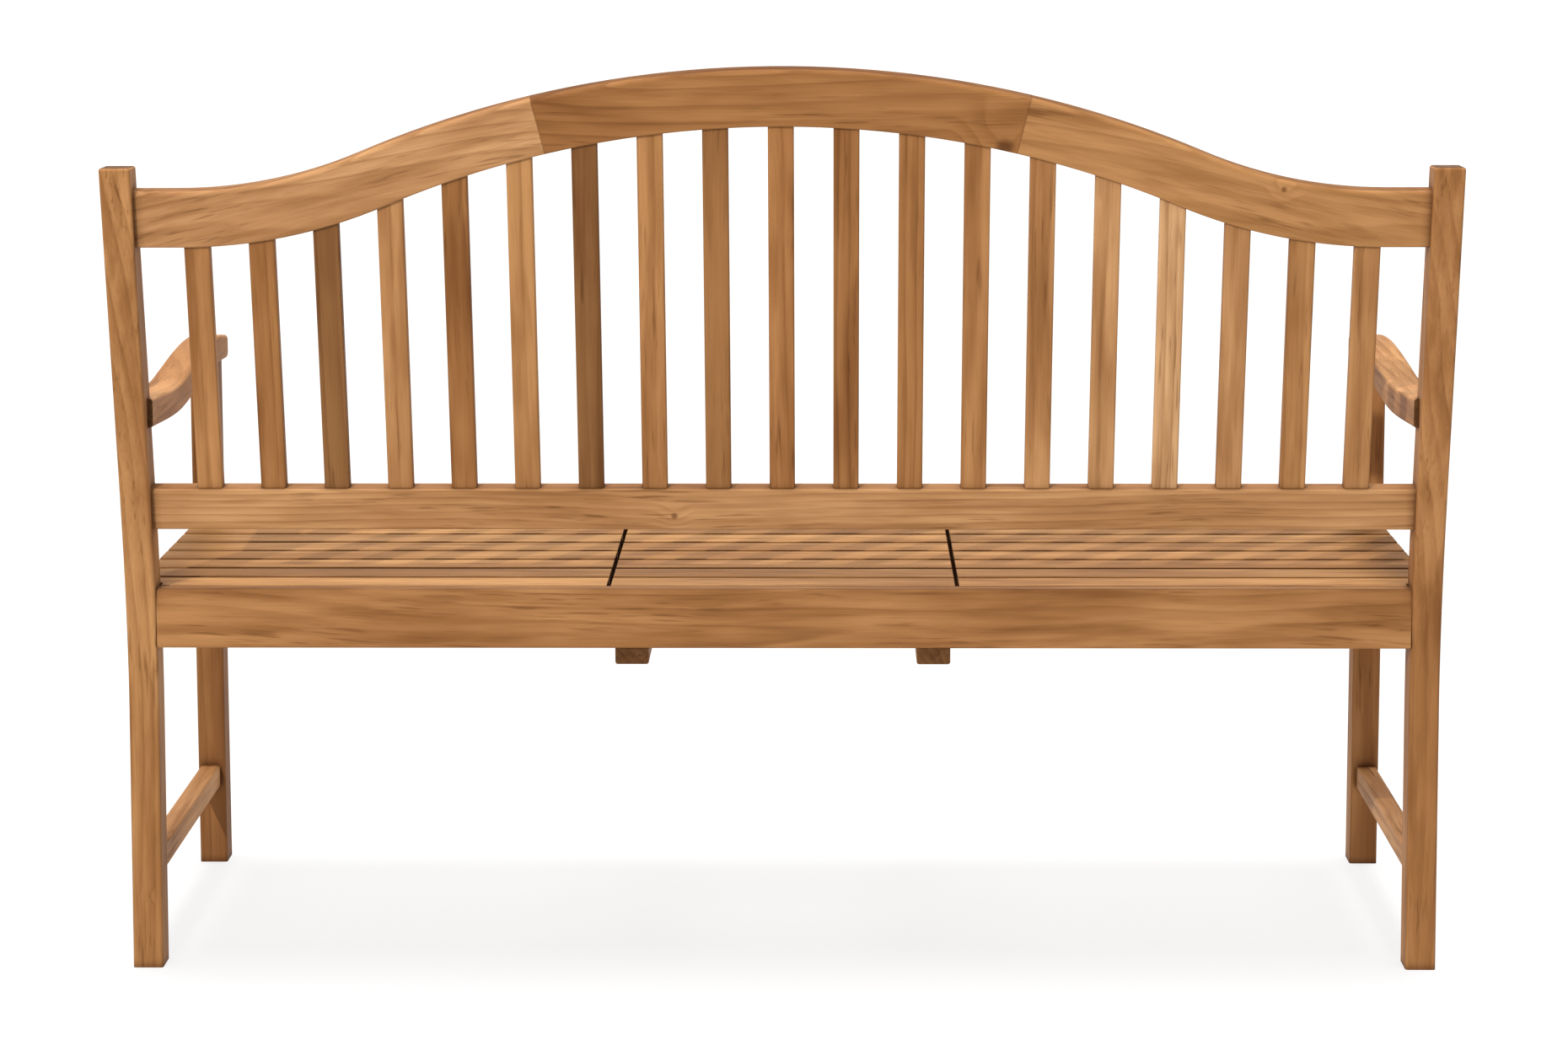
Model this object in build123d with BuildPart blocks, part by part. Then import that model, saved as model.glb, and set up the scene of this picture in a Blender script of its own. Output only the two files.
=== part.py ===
from build123d import *
import os
from math import atan, cos, degrees, radians, sin, sqrt

# Wooden garden bench: raked slatted back under an arched top rail, S-curved arms, and a seat
# whose middle section lifts and swings forward on four parallel links to become a table.
# +X runs along the bench (the sitter's left), the front faces -Y, +Z is up. Millimetres.
os.makedirs("parts", exist_ok=True)

# ------------------------------------------------------------------ driving dimensions
WIDTH = 1520.0                    # over the posts
HALF = WIDTH / 2
POST_W, POST_D = 35.0, 40.0       # post and leg section, along X and along Y
POST_TOP = 944.0
FOOT_Y = 209.0                    # rear face of a rear post at the floor
SPLAY = 11.0                      # how far the rear face comes forward by SPLAY_Z
SPLAY_Z = 300.0
RAKE_Y, RAKE_Z = 22.5, 600.0      # start of the straight raked part, measured from the foot
RAKE = atan(0.2)                  # lean of the back
LEG_Y = -257.0                    # rear face of a front leg
LEG_TOP = 654.0
MORTISE = 0.3                     # glue clearance round every tenon
TENON = 15.0

CREST_T0, CREST_T1 = 900.0, 1040.0      # rail centre line at the ends and at the crown
CREST_XA = 675.0                        # where the sweep runs out into the straight end
CREST_W, CREST_D = 66.0, 22.0
CREST_JOINT = 270.0                     # the three boards meet here
INSET = 9.0                             # rails sit this far inside the posts' rear face
RAIL_T, RAIL_H = 552.7, 50.0            # bottom rail of the back

SLATS, SLAT_PITCH = 19, 73.0
SLAT_W, SLAT_D, SLAT_IN = 29.0, 15.0, 12.5
TEN_W, TEN_D, TEN_L = 23.0, 9.0, 11.0

APRON_Z, APRON_H, APRON_D = 379.0, 70.0, 20.0
REAR_APRON_Y, FRONT_APRON_Y = 190.0, -286.0      # mid planes
SEAT_Z, SEAT_T = 449.0, 20.0
ROWS, ROW_W, ROW_PITCH, ROW_Y = 8, 47.0, 57.0, 154.0
PANEL_X0, PANEL_X1 = 204.5, 755.0
TABLE_X = 200.0
SIDE_X0, SIDE_X1 = 730.0, 752.0
STRETCH_Z, STRETCH_H = 100.0, 28.0
STRETCH_X0, STRETCH_X1 = 732.0, 757.0
BEARER_X0, BEARER_X1, BEARER_H = 207.0, 245.0, 40.0

ARM_X0 = 719.0
ARM_FRONT = -312.5

CARRY_X0, CARRY_X1 = 155.0, 194.0       # fixed bearers under the table
CARRY_Z0, CARRY_Z1 = 360.0, 400.0
CLEAT_X1, CLEAT_Z0 = 185.0, 400.5
CLEAT_Y0, CLEAT_Y1 = -260.0, 175.0
LINK_L, LINK_W, LINK_T, LINK_A = 240.0, 22.0, 17.0, 8.0
LINK_X1 = 153.0
PIVOT_Z = 380.0
PIVOT_Y = (("rear", -73.0), ("front", -255.0))
PIN_D, BORE_D, OPEN_BORE_D = 8.0, 8.1, 8.3
BAR_AT, BAR_S = 100.0, 20.0

SCREW_D, SCREW_HEAD_D, SCREW_DY = 4.0, 8.0, -12.0

# ------------------------------------------------------------------ shared frames and rows
SIDES = (("left", 1), ("right", -1))
BACK_Y0 = FOOT_Y + RAKE_Y - RAKE_Z * 0.2
back = Plane(origin=(0, BACK_Y0, 0), x_dir=(1, 0, 0), z_dir=(0, -cos(RAKE), sin(RAKE)))
up_back = Axis((0, 0, 0), (0, sin(RAKE), cos(RAKE)))
rows_y = [ROW_Y - ROW_PITCH * k for k in range(ROWS)]
screw_y = [y + SCREW_DY for y in rows_y[:-1]] + [rows_y[-1] - SCREW_DY]
slat_x = [SLAT_PITCH * (k - (SLATS - 1) / 2) for k in range(SLATS)]
LINK_UP = (LINK_L * cos(radians(LINK_A)), LINK_L * sin(radians(LINK_A)))
TOP_PIVOT_Z = PIVOT_Z + LINK_UP[1]

# ------------------------------------------------------------------ crest rail outline
half_sweep = 2 * atan((CREST_T1 - CREST_T0) / CREST_XA)
SWEEP = degrees(half_sweep)
R_SUM = CREST_XA / sin(half_sweep)
R_CROWN = R_SUM * 0.678
R_HOLLOW = R_SUM - R_CROWN
HW = CREST_W / 2
with BuildSketch() as crest_outline:
    with BuildLine():
        top1 = JernArc((0, CREST_T1 + HW), (1, 0), R_CROWN + HW, -SWEEP)
        top2 = JernArc(top1 @ 1, top1 % 1, R_HOLLOW - HW, SWEEP)
        top3 = Line(top2 @ 1, (HALF - POST_W, CREST_T0 + HW))
        low1 = JernArc((0, CREST_T1 - HW), (1, 0), R_CROWN - HW, -SWEEP)
        low2 = JernArc(low1 @ 1, low1 % 1, R_HOLLOW + HW, SWEEP)
        low3 = Line(low2 @ 1, (HALF - POST_W, CREST_T0 - HW))
        Line(top3 @ 1, low3 @ 1)
        mirror(about=Plane.YZ)
    make_face()

with BuildPart() as crest_blank:
    with BuildSketch(back.offset(INSET)):
        add(crest_outline.sketch)
    extrude(amount=CREST_D)

def crest_under(x):
    """Height of the crest rail's lower edge above the floor line of the raked plane."""
    turn = (R_CROWN - HW) * sin(half_sweep)
    if abs(x) < turn:
        return CREST_T1 - R_CROWN + sqrt((R_CROWN - HW) ** 2 - x * x)
    return CREST_T0 + R_HOLLOW - sqrt((R_HOLLOW + HW) ** 2 - (CREST_XA - abs(x)) ** 2)

# ------------------------------------------------------------------ rear posts
post_parts = {}
post_blanks = {}
for side, s in SIDES:
    x0 = HALF - POST_W if s > 0 else -HALF
    with BuildPart() as post:
        with BuildSketch(Plane.YZ.offset(x0)):
            with BuildLine():
                top_y = FOOT_Y + RAKE_Y + (POST_TOP - RAKE_Z) * 0.2
                r1, r2 = (FOOT_Y - SPLAY, SPLAY_Z), (FOOT_Y + RAKE_Y, RAKE_Z)
                f2 = (r2[0] - POST_D * cos(RAKE), r2[1] + POST_D * sin(RAKE))
                f1 = (r1[0] - POST_D, r1[1] - 1.5)
                Line((FOOT_Y, 0), r1)
                Spline(r1, r2, tangents=[(-SPLAY, SPLAY_Z), (0.2, 1)])
                Line(r2, (top_y, POST_TOP))
                Line((top_y, POST_TOP), (top_y - POST_D / cos(RAKE), POST_TOP))
                Line((top_y - POST_D / cos(RAKE), POST_TOP), f2)
                Spline(f2, f1, tangents=[(-0.2, -1), (SPLAY, -SPLAY_Z)])
                Line(f1, (FOOT_Y - POST_D, 0))
                Line((FOOT_Y - POST_D, 0), (FOOT_Y, 0))
            make_face()
        extrude(amount=POST_W)
    post_blanks[side] = post.part
    with BuildPart() as post:
        add(post_blanks[side])
        long_edges = [e for e in post.edges() if abs((e @ 0).X - (e @ 1).X) < 0.1
                      and abs((e @ 0).Z - (e @ 1).Z) > 50]
        fillet(long_edges, 3.5)
        fillet(post.faces().sort_by(Axis.Z)[-1].edges(), 3.0)
        # mortises for the two back rails, the rear apron, side rail, stretcher and arm
        with BuildSketch(back.offset(INSET + 6 - MORTISE)):
            for t, h in ((CREST_T0, 46.0), (RAIL_T, 34.0)):
                with Locations((s * (HALF - POST_W + TENON / 2), t)):
                    Rectangle(TENON + 1, h + 2 * MORTISE)
        extrude(amount=10 + 2 * MORTISE, mode=Mode.SUBTRACT)
        xm = s * (HALF - POST_W + TENON / 2)
        with Locations((xm, REAR_APRON_Y, APRON_Z + APRON_H / 2)):
            Box(TENON + 1, 10 + 2 * MORTISE, 50 + 2 * MORTISE, mode=Mode.SUBTRACT)
        with Locations((s * (SIDE_X0 + SIDE_X1) / 2, 165, 404)):
            Box(10 + 2 * MORTISE, 31, 30 + 2 * MORTISE, mode=Mode.SUBTRACT)
        with Locations((s * (STRETCH_X0 + STRETCH_X1) / 2, 167, STRETCH_Z + STRETCH_H / 2)):
            Box(10 + 2 * MORTISE, 31, 16 + 2 * MORTISE, mode=Mode.SUBTRACT)
        with Locations(Location((s * 741, 205, 657), (90, 0, 0))):
            Cylinder(6 + MORTISE, 30, mode=Mode.SUBTRACT)
    post.part.label = f"rear_post_{side}"
    post_parts[side] = post.part
    export_step(post.part, f"parts/rear_post_{side}.step")

# ------------------------------------------------------------------ front legs
for side, s in SIDES:
    cx = s * (HALF - POST_W / 2)
    with BuildPart() as leg:
        with Locations((cx, LEG_Y - POST_D / 2, 0)):
            Box(POST_W, POST_D, LEG_TOP, align=(Align.CENTER, Align.CENTER, Align.MIN))
        fillet(leg.edges().filter_by(Axis.Z), 3.5)
        with Locations((cx, LEG_Y - POST_D / 2, LEG_TOP)):
            Cylinder(7, 15, align=(Align.CENTER, Align.CENTER, Align.MIN))
        with Locations((s * (HALF - POST_W + TENON / 2), FRONT_APRON_Y, APRON_Z + APRON_H / 2)):
            Box(TENON + 1, 10 + 2 * MORTISE, 50 + 2 * MORTISE, mode=Mode.SUBTRACT)
        with Locations((s * (SIDE_X0 + SIDE_X1) / 2, LEG_Y, 404)):
            Box(10 + 2 * MORTISE, 31, 30 + 2 * MORTISE, mode=Mode.SUBTRACT)
        with Locations((s * (STRETCH_X0 + STRETCH_X1) / 2, LEG_Y, STRETCH_Z + STRETCH_H / 2)):
            Box(10 + 2 * MORTISE, 31, 16 + 2 * MORTISE, mode=Mode.SUBTRACT)
    leg.part.label = f"front_leg_{side}"
    export_step(leg.part, f"parts/front_leg_{side}.step")

# ------------------------------------------------------------------ arms
for side, s in SIDES:
    x0 = ARM_X0 if s > 0 else -HALF
    with BuildPart() as arm:
        with BuildSketch(Plane.YZ.offset(x0)) as arm_face:
            with BuildLine():
                upper = Spline((ARM_FRONT, 681), (-243, 687), (-150, 684), (-56, 675),
                               (32, 667), (110, 668), (225, 675))
                lower = Spline((-252, LEG_TOP), (-150, 650), (-56, 641), (32, 634),
                               (110, 635), (225, 641), tangents=[(1, 0), (1, 0.05)])
                Line(upper @ 1, lower @ 1)
                Line(lower @ 0, (ARM_FRONT, LEG_TOP - 2))
                Line((ARM_FRONT, LEG_TOP - 2), upper @ 0)
            make_face()
            fillet(arm_face.vertices().group_by(Axis.X)[0], 9)
        extrude(amount=HALF - ARM_X0)
        rims = arm.faces().filter_by(Axis.X).edges()
        fillet(rims.filter_by(lambda e: (e @ 0.5).Y < 224.5), 4)
        add(post_blanks[side], mode=Mode.SUBTRACT)
    arm_body = arm.part.solids().sort_by(SortBy.VOLUME)[-1]
    with BuildPart() as arm:
        add(arm_body)
        with Locations((s * (HALF - POST_W / 2), LEG_Y - POST_D / 2, LEG_TOP)):
            Cylinder(7 + MORTISE, 31, mode=Mode.SUBTRACT)
            Box(POST_W + 8, POST_D, 8, align=(Align.CENTER, Align.CENTER, Align.MAX),
                mode=Mode.SUBTRACT)
        with Locations(Location((s * 741, 200, 657), (90, 0, 0))):
            Cylinder(6, 35)
    arm.part.label = f"arm_{side}"
    export_step(arm.part, f"parts/arm_{side}.step")

# ------------------------------------------------------------------ crest rail in three boards
def above_middle(edge, margin):
    """Whether an edge of the crest lies more than margin above the rail's centre line."""
    mid = edge @ 0.5
    return mid.Z > (crest_under(min(abs(mid.X), CREST_XA)) + HW + margin) * cos(RAKE)

half_joint = CREST_JOINT / R_CROWN
far = 1400.0
hub_t = CREST_T1 - R_CROWN
far_t = hub_t + far * sqrt(1 - half_joint ** 2)
wedge = [(0, hub_t), (far * half_joint, far_t), (-far * half_joint, far_t)]
for name, s in (("center", 0), ("left", 1), ("right", -1)):
    with BuildPart() as crest:
        with BuildSketch(back.offset(INSET)):
            add(crest_outline.sketch)
            if s == 0:
                Polygon(*wedge, align=None, mode=Mode.INTERSECT)
            else:
                Polygon(*wedge, align=None, mode=Mode.SUBTRACT)
                with Locations((s * 500, 950)):
                    Rectangle(1000, 600, mode=Mode.INTERSECT)
        extrude(amount=CREST_D)
        rims = crest.edges().filter_by(GeomType.CIRCLE) + crest.edges().filter_by(Axis.X)
        fillet([e for e in rims if not above_middle(e, 0)], 3.0)
        rims = crest.edges().filter_by(GeomType.CIRCLE) + crest.edges().filter_by(Axis.X)
        fillet([e for e in rims if above_middle(e, HW / 2)], 6.5)
        if s != 0:
            with BuildSketch(back.offset(INSET + 6)):
                with Locations((s * (HALF - POST_W + TENON / 2 - 5), CREST_T0)):
                    Rectangle(TENON + 10, 46)
            extrude(amount=10)
        with BuildSketch(back.offset(SLAT_IN + (SLAT_D - TEN_D) / 2 - 0.2)):
            for x in slat_x:
                with Locations((x, crest_under(x))):
                    Rectangle(TEN_W + 0.4, 2 * TEN_L + 1)
        extrude(amount=TEN_D + 0.4, mode=Mode.SUBTRACT)
    crest.part.label = f"crest_{name}"
    export_step(crest.part, f"parts/crest_{name}.step")

# ------------------------------------------------------------------ bottom rail of the back
with BuildPart() as back_bottom_rail:
    with BuildSketch(back.offset(INSET)):
        with Locations((0, RAIL_T)):
            Rectangle(WIDTH - 2 * POST_W, RAIL_H)
    extrude(amount=CREST_D)
    fillet(back_bottom_rail.edges().filter_by(Axis.X), 3.0)
    with BuildSketch(back.offset(INSET + 6)):
        with Locations((0, RAIL_T)):
            Rectangle(WIDTH - 2 * POST_W + 2 * TENON, 34)
    extrude(amount=10)
    with BuildSketch(back.offset(SLAT_IN + (SLAT_D - TEN_D) / 2 - 0.2)):
        with Locations(*[(x, RAIL_T + RAIL_H / 2) for x in slat_x]):
            Rectangle(TEN_W + 0.4, 2 * TEN_L + 1)
    extrude(amount=TEN_D + 0.4, mode=Mode.SUBTRACT)
back_bottom_rail.part.label = "back_bottom_rail"
export_step(back_bottom_rail.part, "parts/back_bottom_rail.step")

# ------------------------------------------------------------------ upright slats of the back
for k, x in enumerate(reversed(slat_x)):
    lo, hi = RAIL_T + RAIL_H / 2, crest_under(x)
    with BuildPart() as slat:
        with BuildSketch(back.offset(SLAT_IN)):
            with Locations((x, lo)):
                Rectangle(SLAT_W, hi - lo + 20, align=(Align.CENTER, Align.MIN))
        extrude(amount=SLAT_D)
        fillet(slat.edges().filter_by(up_back), 2.0)
        add(crest_blank.part, mode=Mode.SUBTRACT)
        with BuildSketch(back.offset(SLAT_IN + (SLAT_D - TEN_D) / 2)):
            with Locations((x, lo - TEN_L)):
                Rectangle(TEN_W, hi - lo + 2 * TEN_L, align=(Align.CENTER, Align.MIN))
        extrude(amount=TEN_D)
    slat.part.label = f"back_slat_{k + 1:02d}"
    export_step(slat.part, f"parts/back_slat_{k + 1:02d}.step")

# ------------------------------------------------------------------ aprons
for name, y in (("rear_apron", REAR_APRON_Y), ("front_apron", FRONT_APRON_Y)):
    with BuildPart() as apron:
        with Locations((0, y, APRON_Z + APRON_H / 2)):
            Box(WIDTH - 2 * POST_W, APRON_D, APRON_H)
        fillet(apron.edges().filter_by(Axis.X), 3.0)
        with Locations((0, y, APRON_Z + APRON_H / 2)):
            Box(WIDTH - 2 * POST_W + 2 * TENON, 10, 50)
        with Locations(*[(s * (CARRY_X0 + CARRY_X1) / 2, y, APRON_Z - 1) for s in (1, -1)]):
            Cylinder(SCREW_D / 2 + 0.1, 33, align=(Align.CENTER, Align.CENTER, Align.MIN),
                     mode=Mode.SUBTRACT)
    apron.part.label = name
    export_step(apron.part, f"parts/{name}.step")

# ------------------------------------------------------------------ side rails and stretchers
for side, s in SIDES:
    with BuildPart() as rail:
        with Locations((s * (SIDE_X0 + SIDE_X1) / 2, (LEG_Y + 172) / 2, 404)):
            Box(SIDE_X1 - SIDE_X0, 172 - LEG_Y, 50)
        fillet(rail.edges().filter_by(Axis.Y).group_by(Axis.Z)[0], 2.0)
        add(post_blanks[side], mode=Mode.SUBTRACT)
        with Locations((s * (SIDE_X0 + SIDE_X1) / 2, (LEG_Y - TENON + 179) / 2, 404)):
            Box(10, 179 - LEG_Y + TENON, 30)
        with Locations(*[(s * (SIDE_X0 + SIDE_X1) / 2, y, 379) for y in screw_y]):
            Cylinder(SCREW_HEAD_D / 2 + 0.4, 19, align=(Align.CENTER, Align.CENTER, Align.MIN),
                     mode=Mode.SUBTRACT)
            Cylinder(SCREW_D / 2 + 0.1, 60, align=(Align.CENTER, Align.CENTER, Align.MIN),
                     mode=Mode.SUBTRACT)
    rail.part.label = f"side_rail_{side}"
    export_step(rail.part, f"parts/side_rail_{side}.step")

    with BuildPart() as stretcher:
        with Locations((s * (STRETCH_X0 + STRETCH_X1) / 2, (LEG_Y + 175) / 2,
                        STRETCH_Z + STRETCH_H / 2)):
            Box(STRETCH_X1 - STRETCH_X0, 175 - LEG_Y, STRETCH_H)
        fillet(stretcher.edges().filter_by(Axis.Y), 3.0)
        add(post_blanks[side], mode=Mode.SUBTRACT)
        with Locations((s * (STRETCH_X0 + STRETCH_X1) / 2, (LEG_Y - TENON + 181) / 2,
                        STRETCH_Z + STRETCH_H / 2)):
            Box(10, 181 - LEG_Y + TENON, 16)
    stretcher.part.label = f"stretcher_{side}"
    export_step(stretcher.part, f"parts/stretcher_{side}.step")

# ------------------------------------------------------------------ fixed seat panels
for side, s in SIDES:
    with BuildPart() as seat:
        cx = s * (PANEL_X0 + PANEL_X1) / 2
        with Locations(*[(cx, y, SEAT_Z - SEAT_T / 2) for y in rows_y]):
            Box(PANEL_X1 - PANEL_X0, ROW_W, SEAT_T)
        with Locations((s * 760, 191.5, SEAT_Z), (s * 760, LEG_Y - 28.5, SEAT_Z)):
            Box(73, 60, 60, mode=Mode.SUBTRACT)
        fillet(seat.edges().group_by(Axis.Z)[-1], 1.2)
        for x in ((SIDE_X0 + SIDE_X1) / 2, (BEARER_X0 + BEARER_X1) / 2):
            with Locations(*[(s * x, y, SEAT_Z - SEAT_T - 1) for y in screw_y]):
                Cylinder(SCREW_D / 2 + 0.1, 15.5, align=(Align.CENTER, Align.CENTER, Align.MIN),
                         mode=Mode.SUBTRACT)
    seat.part.label = f"seat_slats_{side}"
    export_step(seat.part, f"parts/seat_slats_{side}.step")

    with BuildPart() as bearer:
        y0, y1 = FRONT_APRON_Y + APRON_D / 2, REAR_APRON_Y - APRON_D / 2
        with Locations((s * (BEARER_X0 + BEARER_X1) / 2, (y0 + y1) / 2, 409)):
            Box(BEARER_X1 - BEARER_X0, y1 - y0, BEARER_H)
        fillet(bearer.edges().filter_by(Axis.Y).group_by(Axis.Z)[0], 2.0)
        with Locations(*[(s * (BEARER_X0 + BEARER_X1) / 2, y, 388) for y in screw_y]):
            Cylinder(SCREW_HEAD_D / 2 + 0.4, 10, align=(Align.CENTER, Align.CENTER, Align.MIN),
                     mode=Mode.SUBTRACT)
            Cylinder(SCREW_D / 2 + 0.1, 60, align=(Align.CENTER, Align.CENTER, Align.MIN),
                     mode=Mode.SUBTRACT)
    bearer.part.label = f"seat_bearer_{side}"
    export_step(bearer.part, f"parts/seat_bearer_{side}.step")

# ------------------------------------------------------------------ table top and its cleats
cleat_x = (CARRY_X0 + CLEAT_X1) / 2
with BuildPart() as table_slats:
    with Locations(*[(0, y, SEAT_Z - SEAT_T / 2) for y in rows_y]):
        Box(2 * TABLE_X, ROW_W, SEAT_T)
    fillet(table_slats.edges().group_by(Axis.Z)[-1], 1.2)
    with Locations(*[(s * cleat_x, y, SEAT_Z - SEAT_T - 1) for s in (1, -1) for y in screw_y]):
        Cylinder(SCREW_D / 2 + 0.1, 15.5, align=(Align.CENTER, Align.CENTER, Align.MIN),
                 mode=Mode.SUBTRACT)
table_slats.part.label = "table_slats"
export_step(table_slats.part, "parts/table_slats.step")

for side, s in SIDES:
    with BuildPart() as cleat:
        with Locations((s * cleat_x, (CLEAT_Y0 + CLEAT_Y1) / 2, CLEAT_Z0)):
            Box(CLEAT_X1 - CARRY_X0, CLEAT_Y1 - CLEAT_Y0, SEAT_Z - SEAT_T - CLEAT_Z0,
                align=(Align.CENTER, Align.CENTER, Align.MIN))
        fillet(cleat.edges().filter_by(Axis.Y).group_by(Axis.Z)[0], 2.0)
        with Locations(*[Location((s * cleat_x, y + LINK_UP[0], TOP_PIVOT_Z), (0, 90, 0))
                         for _, y in PIVOT_Y]):
            Cylinder(BORE_D / 2, 60, mode=Mode.SUBTRACT)
        with Locations(*[(s * cleat_x, y, CLEAT_Z0 - 1) for y in screw_y]):
            Cylinder(SCREW_HEAD_D / 2 + 0.4, 4.2, align=(Align.CENTER, Align.CENTER, Align.MIN),
                     mode=Mode.SUBTRACT)
            Cylinder(SCREW_D / 2 + 0.1, 60, align=(Align.CENTER, Align.CENTER, Align.MIN),
                     mode=Mode.SUBTRACT)
    cleat.part.label = f"table_cleat_{side}"
    export_step(cleat.part, f"parts/table_cleat_{side}.step")

# ------------------------------------------------------------------ bearers under the table
for side, s in SIDES:
    cx = s * (CARRY_X0 + CARRY_X1) / 2
    with BuildPart() as carry:
        y0, y1 = FRONT_APRON_Y - 7, REAR_APRON_Y + 7
        with Locations((cx, (y0 + y1) / 2, (CARRY_Z0 + CARRY_Z1) / 2)):
            Box(CARRY_X1 - CARRY_X0, y1 - y0, CARRY_Z1 - CARRY_Z0)
        fillet(carry.edges().filter_by(Axis.Y).group_by(Axis.Z)[0], 3.0)
        with Locations((cx, REAR_APRON_Y, APRON_Z), (cx, FRONT_APRON_Y, APRON_Z)):
            Box(60, APRON_D, 40, align=(Align.CENTER, Align.CENTER, Align.MIN), mode=Mode.SUBTRACT)
        with Locations(*[Location((cx, y, PIVOT_Z), (0, 90, 0)) for _, y in PIVOT_Y]):
            Cylinder(BORE_D / 2, 60, mode=Mode.SUBTRACT)
        with Locations((cx, REAR_APRON_Y, CARRY_Z0 - 1), (cx, FRONT_APRON_Y, CARRY_Z0 - 1)):
            Cylinder(SCREW_HEAD_D / 2 + 0.4, 4.5, align=(Align.CENTER, Align.CENTER, Align.MIN),
                     mode=Mode.SUBTRACT)
            Cylinder(SCREW_D / 2 + 0.1, 60, align=(Align.CENTER, Align.CENTER, Align.MIN),
                     mode=Mode.SUBTRACT)
    carry.part.label = f"table_bearer_{side}"
    export_step(carry.part, f"parts/table_bearer_{side}.step")

# ------------------------------------------------------------------ the four links, two bars
for end, y in PIVOT_Y:
    link_plane = Plane(origin=(0, y, PIVOT_Z), z_dir=(1, 0, 0),
                       x_dir=(0, cos(radians(LINK_A)), sin(radians(LINK_A))))
    for side, s in SIDES:
        with BuildPart() as link:
            x0 = LINK_X1 - LINK_T if s > 0 else -LINK_X1
            with BuildSketch(link_plane.offset(x0)):
                with Locations((LINK_L / 2, 0)):
                    SlotCenterToCenter(LINK_L, LINK_W)
                Circle(BORE_D / 2, mode=Mode.SUBTRACT)
                with Locations((LINK_L, 0)):
                    Circle((OPEN_BORE_D if end == "front" else BORE_D) / 2, mode=Mode.SUBTRACT)
            extrude(amount=LINK_T)
            fillet(link.faces().sort_by(Axis.X)[0].outer_wire().edges(), 2.0)
            fillet(link.faces().sort_by(Axis.X)[-1].outer_wire().edges(), 2.0)
            with BuildSketch(link_plane.offset(x0 if s > 0 else x0 + LINK_T - 12.5)):
                with Locations((BAR_AT, 0)):
                    Circle(5.2)
            extrude(amount=12.5, mode=Mode.SUBTRACT)
        link.part.label = f"{end}_link_{side}"
        export_step(link.part, f"parts/{end}_link_{side}.step")
    inner = LINK_X1 - LINK_T
    with BuildPart() as bar:
        with BuildSketch(link_plane.offset(-inner)):
            with Locations((BAR_AT, 0)):
                Rectangle(BAR_S, BAR_S)
        extrude(amount=2 * inner)
        fillet(bar.edges().filter_by(Axis.X), 3.0)
        with BuildSketch(link_plane.offset(-inner - 12)):
            with Locations((BAR_AT, 0)):
                Circle(5)
        extrude(amount=2 * inner + 24)
    bar.part.label = f"{end}_link_bar"
    export_step(bar.part, f"parts/{end}_link_bar.step")

# ------------------------------------------------------------------ pivot bolts
inner = LINK_X1 - LINK_T
for name, face, dy, z in (("lower", CARRY_X1, 0, PIVOT_Z),
                          ("upper", CLEAT_X1, LINK_UP[0], TOP_PIVOT_Z)):
    with BuildPart() as bolts:
        for s in (1, -1):
            for _, y in PIVOT_Y:
                side_plane = Plane(origin=(0, y + dy, z), x_dir=(0, s, 0), z_dir=(s, 0, 0))
                for x, depth, shape in ((inner - 5.5, 5.5, "hex"),
                                        (inner - 0.1, face + 9 - inner, "pin"),
                                        (inner + LINK_T + 0.2, 1.6, "washer"),
                                        (face, 1.6, "washer"), (face + 1.6, 6.5, "hex")):
                    with BuildSketch(side_plane.offset(x)):
                        if shape == "hex":
                            RegularPolygon(6.5, 6, major_radius=False)
                        elif shape == "pin":
                            Circle(PIN_D / 2)
                        else:
                            Circle(8.5)
                    extrude(amount=depth)
    bolts.part.label = f"{name}_pivot_bolts"
    export_step(bolts.part, f"parts/{name}_pivot_bolts.step")

# ------------------------------------------------------------------ screws
groups = {
    "seat_screws_left": [(x, y, 397.8, 44.7, 3.0) for x in (741.0, 226.0) for y in screw_y],
    "seat_screws_right": [(-x, y, 397.8, 44.7, 3.0) for x in (741.0, 226.0) for y in screw_y],
    "table_screws": [(s * cleat_x, y, 403.6, 38.9, 2.7) for s in (1, -1) for y in screw_y],
    "bearer_screws": [(s * 174.5, y, 363.3, 46.0, 3.0) for s in (1, -1)
                      for y in (REAR_APRON_Y, FRONT_APRON_Y)],
}
for name, spots in groups.items():
    with BuildPart() as screws:
        for x, y, z, length, head in spots:
            with Locations((x, y, z)):
                Cylinder(SCREW_D / 2, length, align=(Align.CENTER, Align.CENTER, Align.MIN))
            with Locations((x, y, z - head)):
                Cylinder(SCREW_HEAD_D / 2, head, align=(Align.CENTER, Align.CENTER, Align.MIN))
    screws.part.label = name
    export_step(screws.part, f"parts/{name}.step")
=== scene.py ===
# %% [markdown]
# # A garden bench in oiled hardwood
#
# This lesson dresses a finished CAD model of a wooden garden bench. The shapes come ready made:
# posts, rails, slats, arms and a table section that lifts out of the seat. What a CAD model
# lacks is the timber itself. We build it here as procedural materials, one board at a time,
# then light it like a small studio.
#
# The first cell loads the model. Every piece sits where it was designed, in metres, with the
# front of the bench facing -Y and +X towards the sitter's left.

# %% Load the bench
import math

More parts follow.
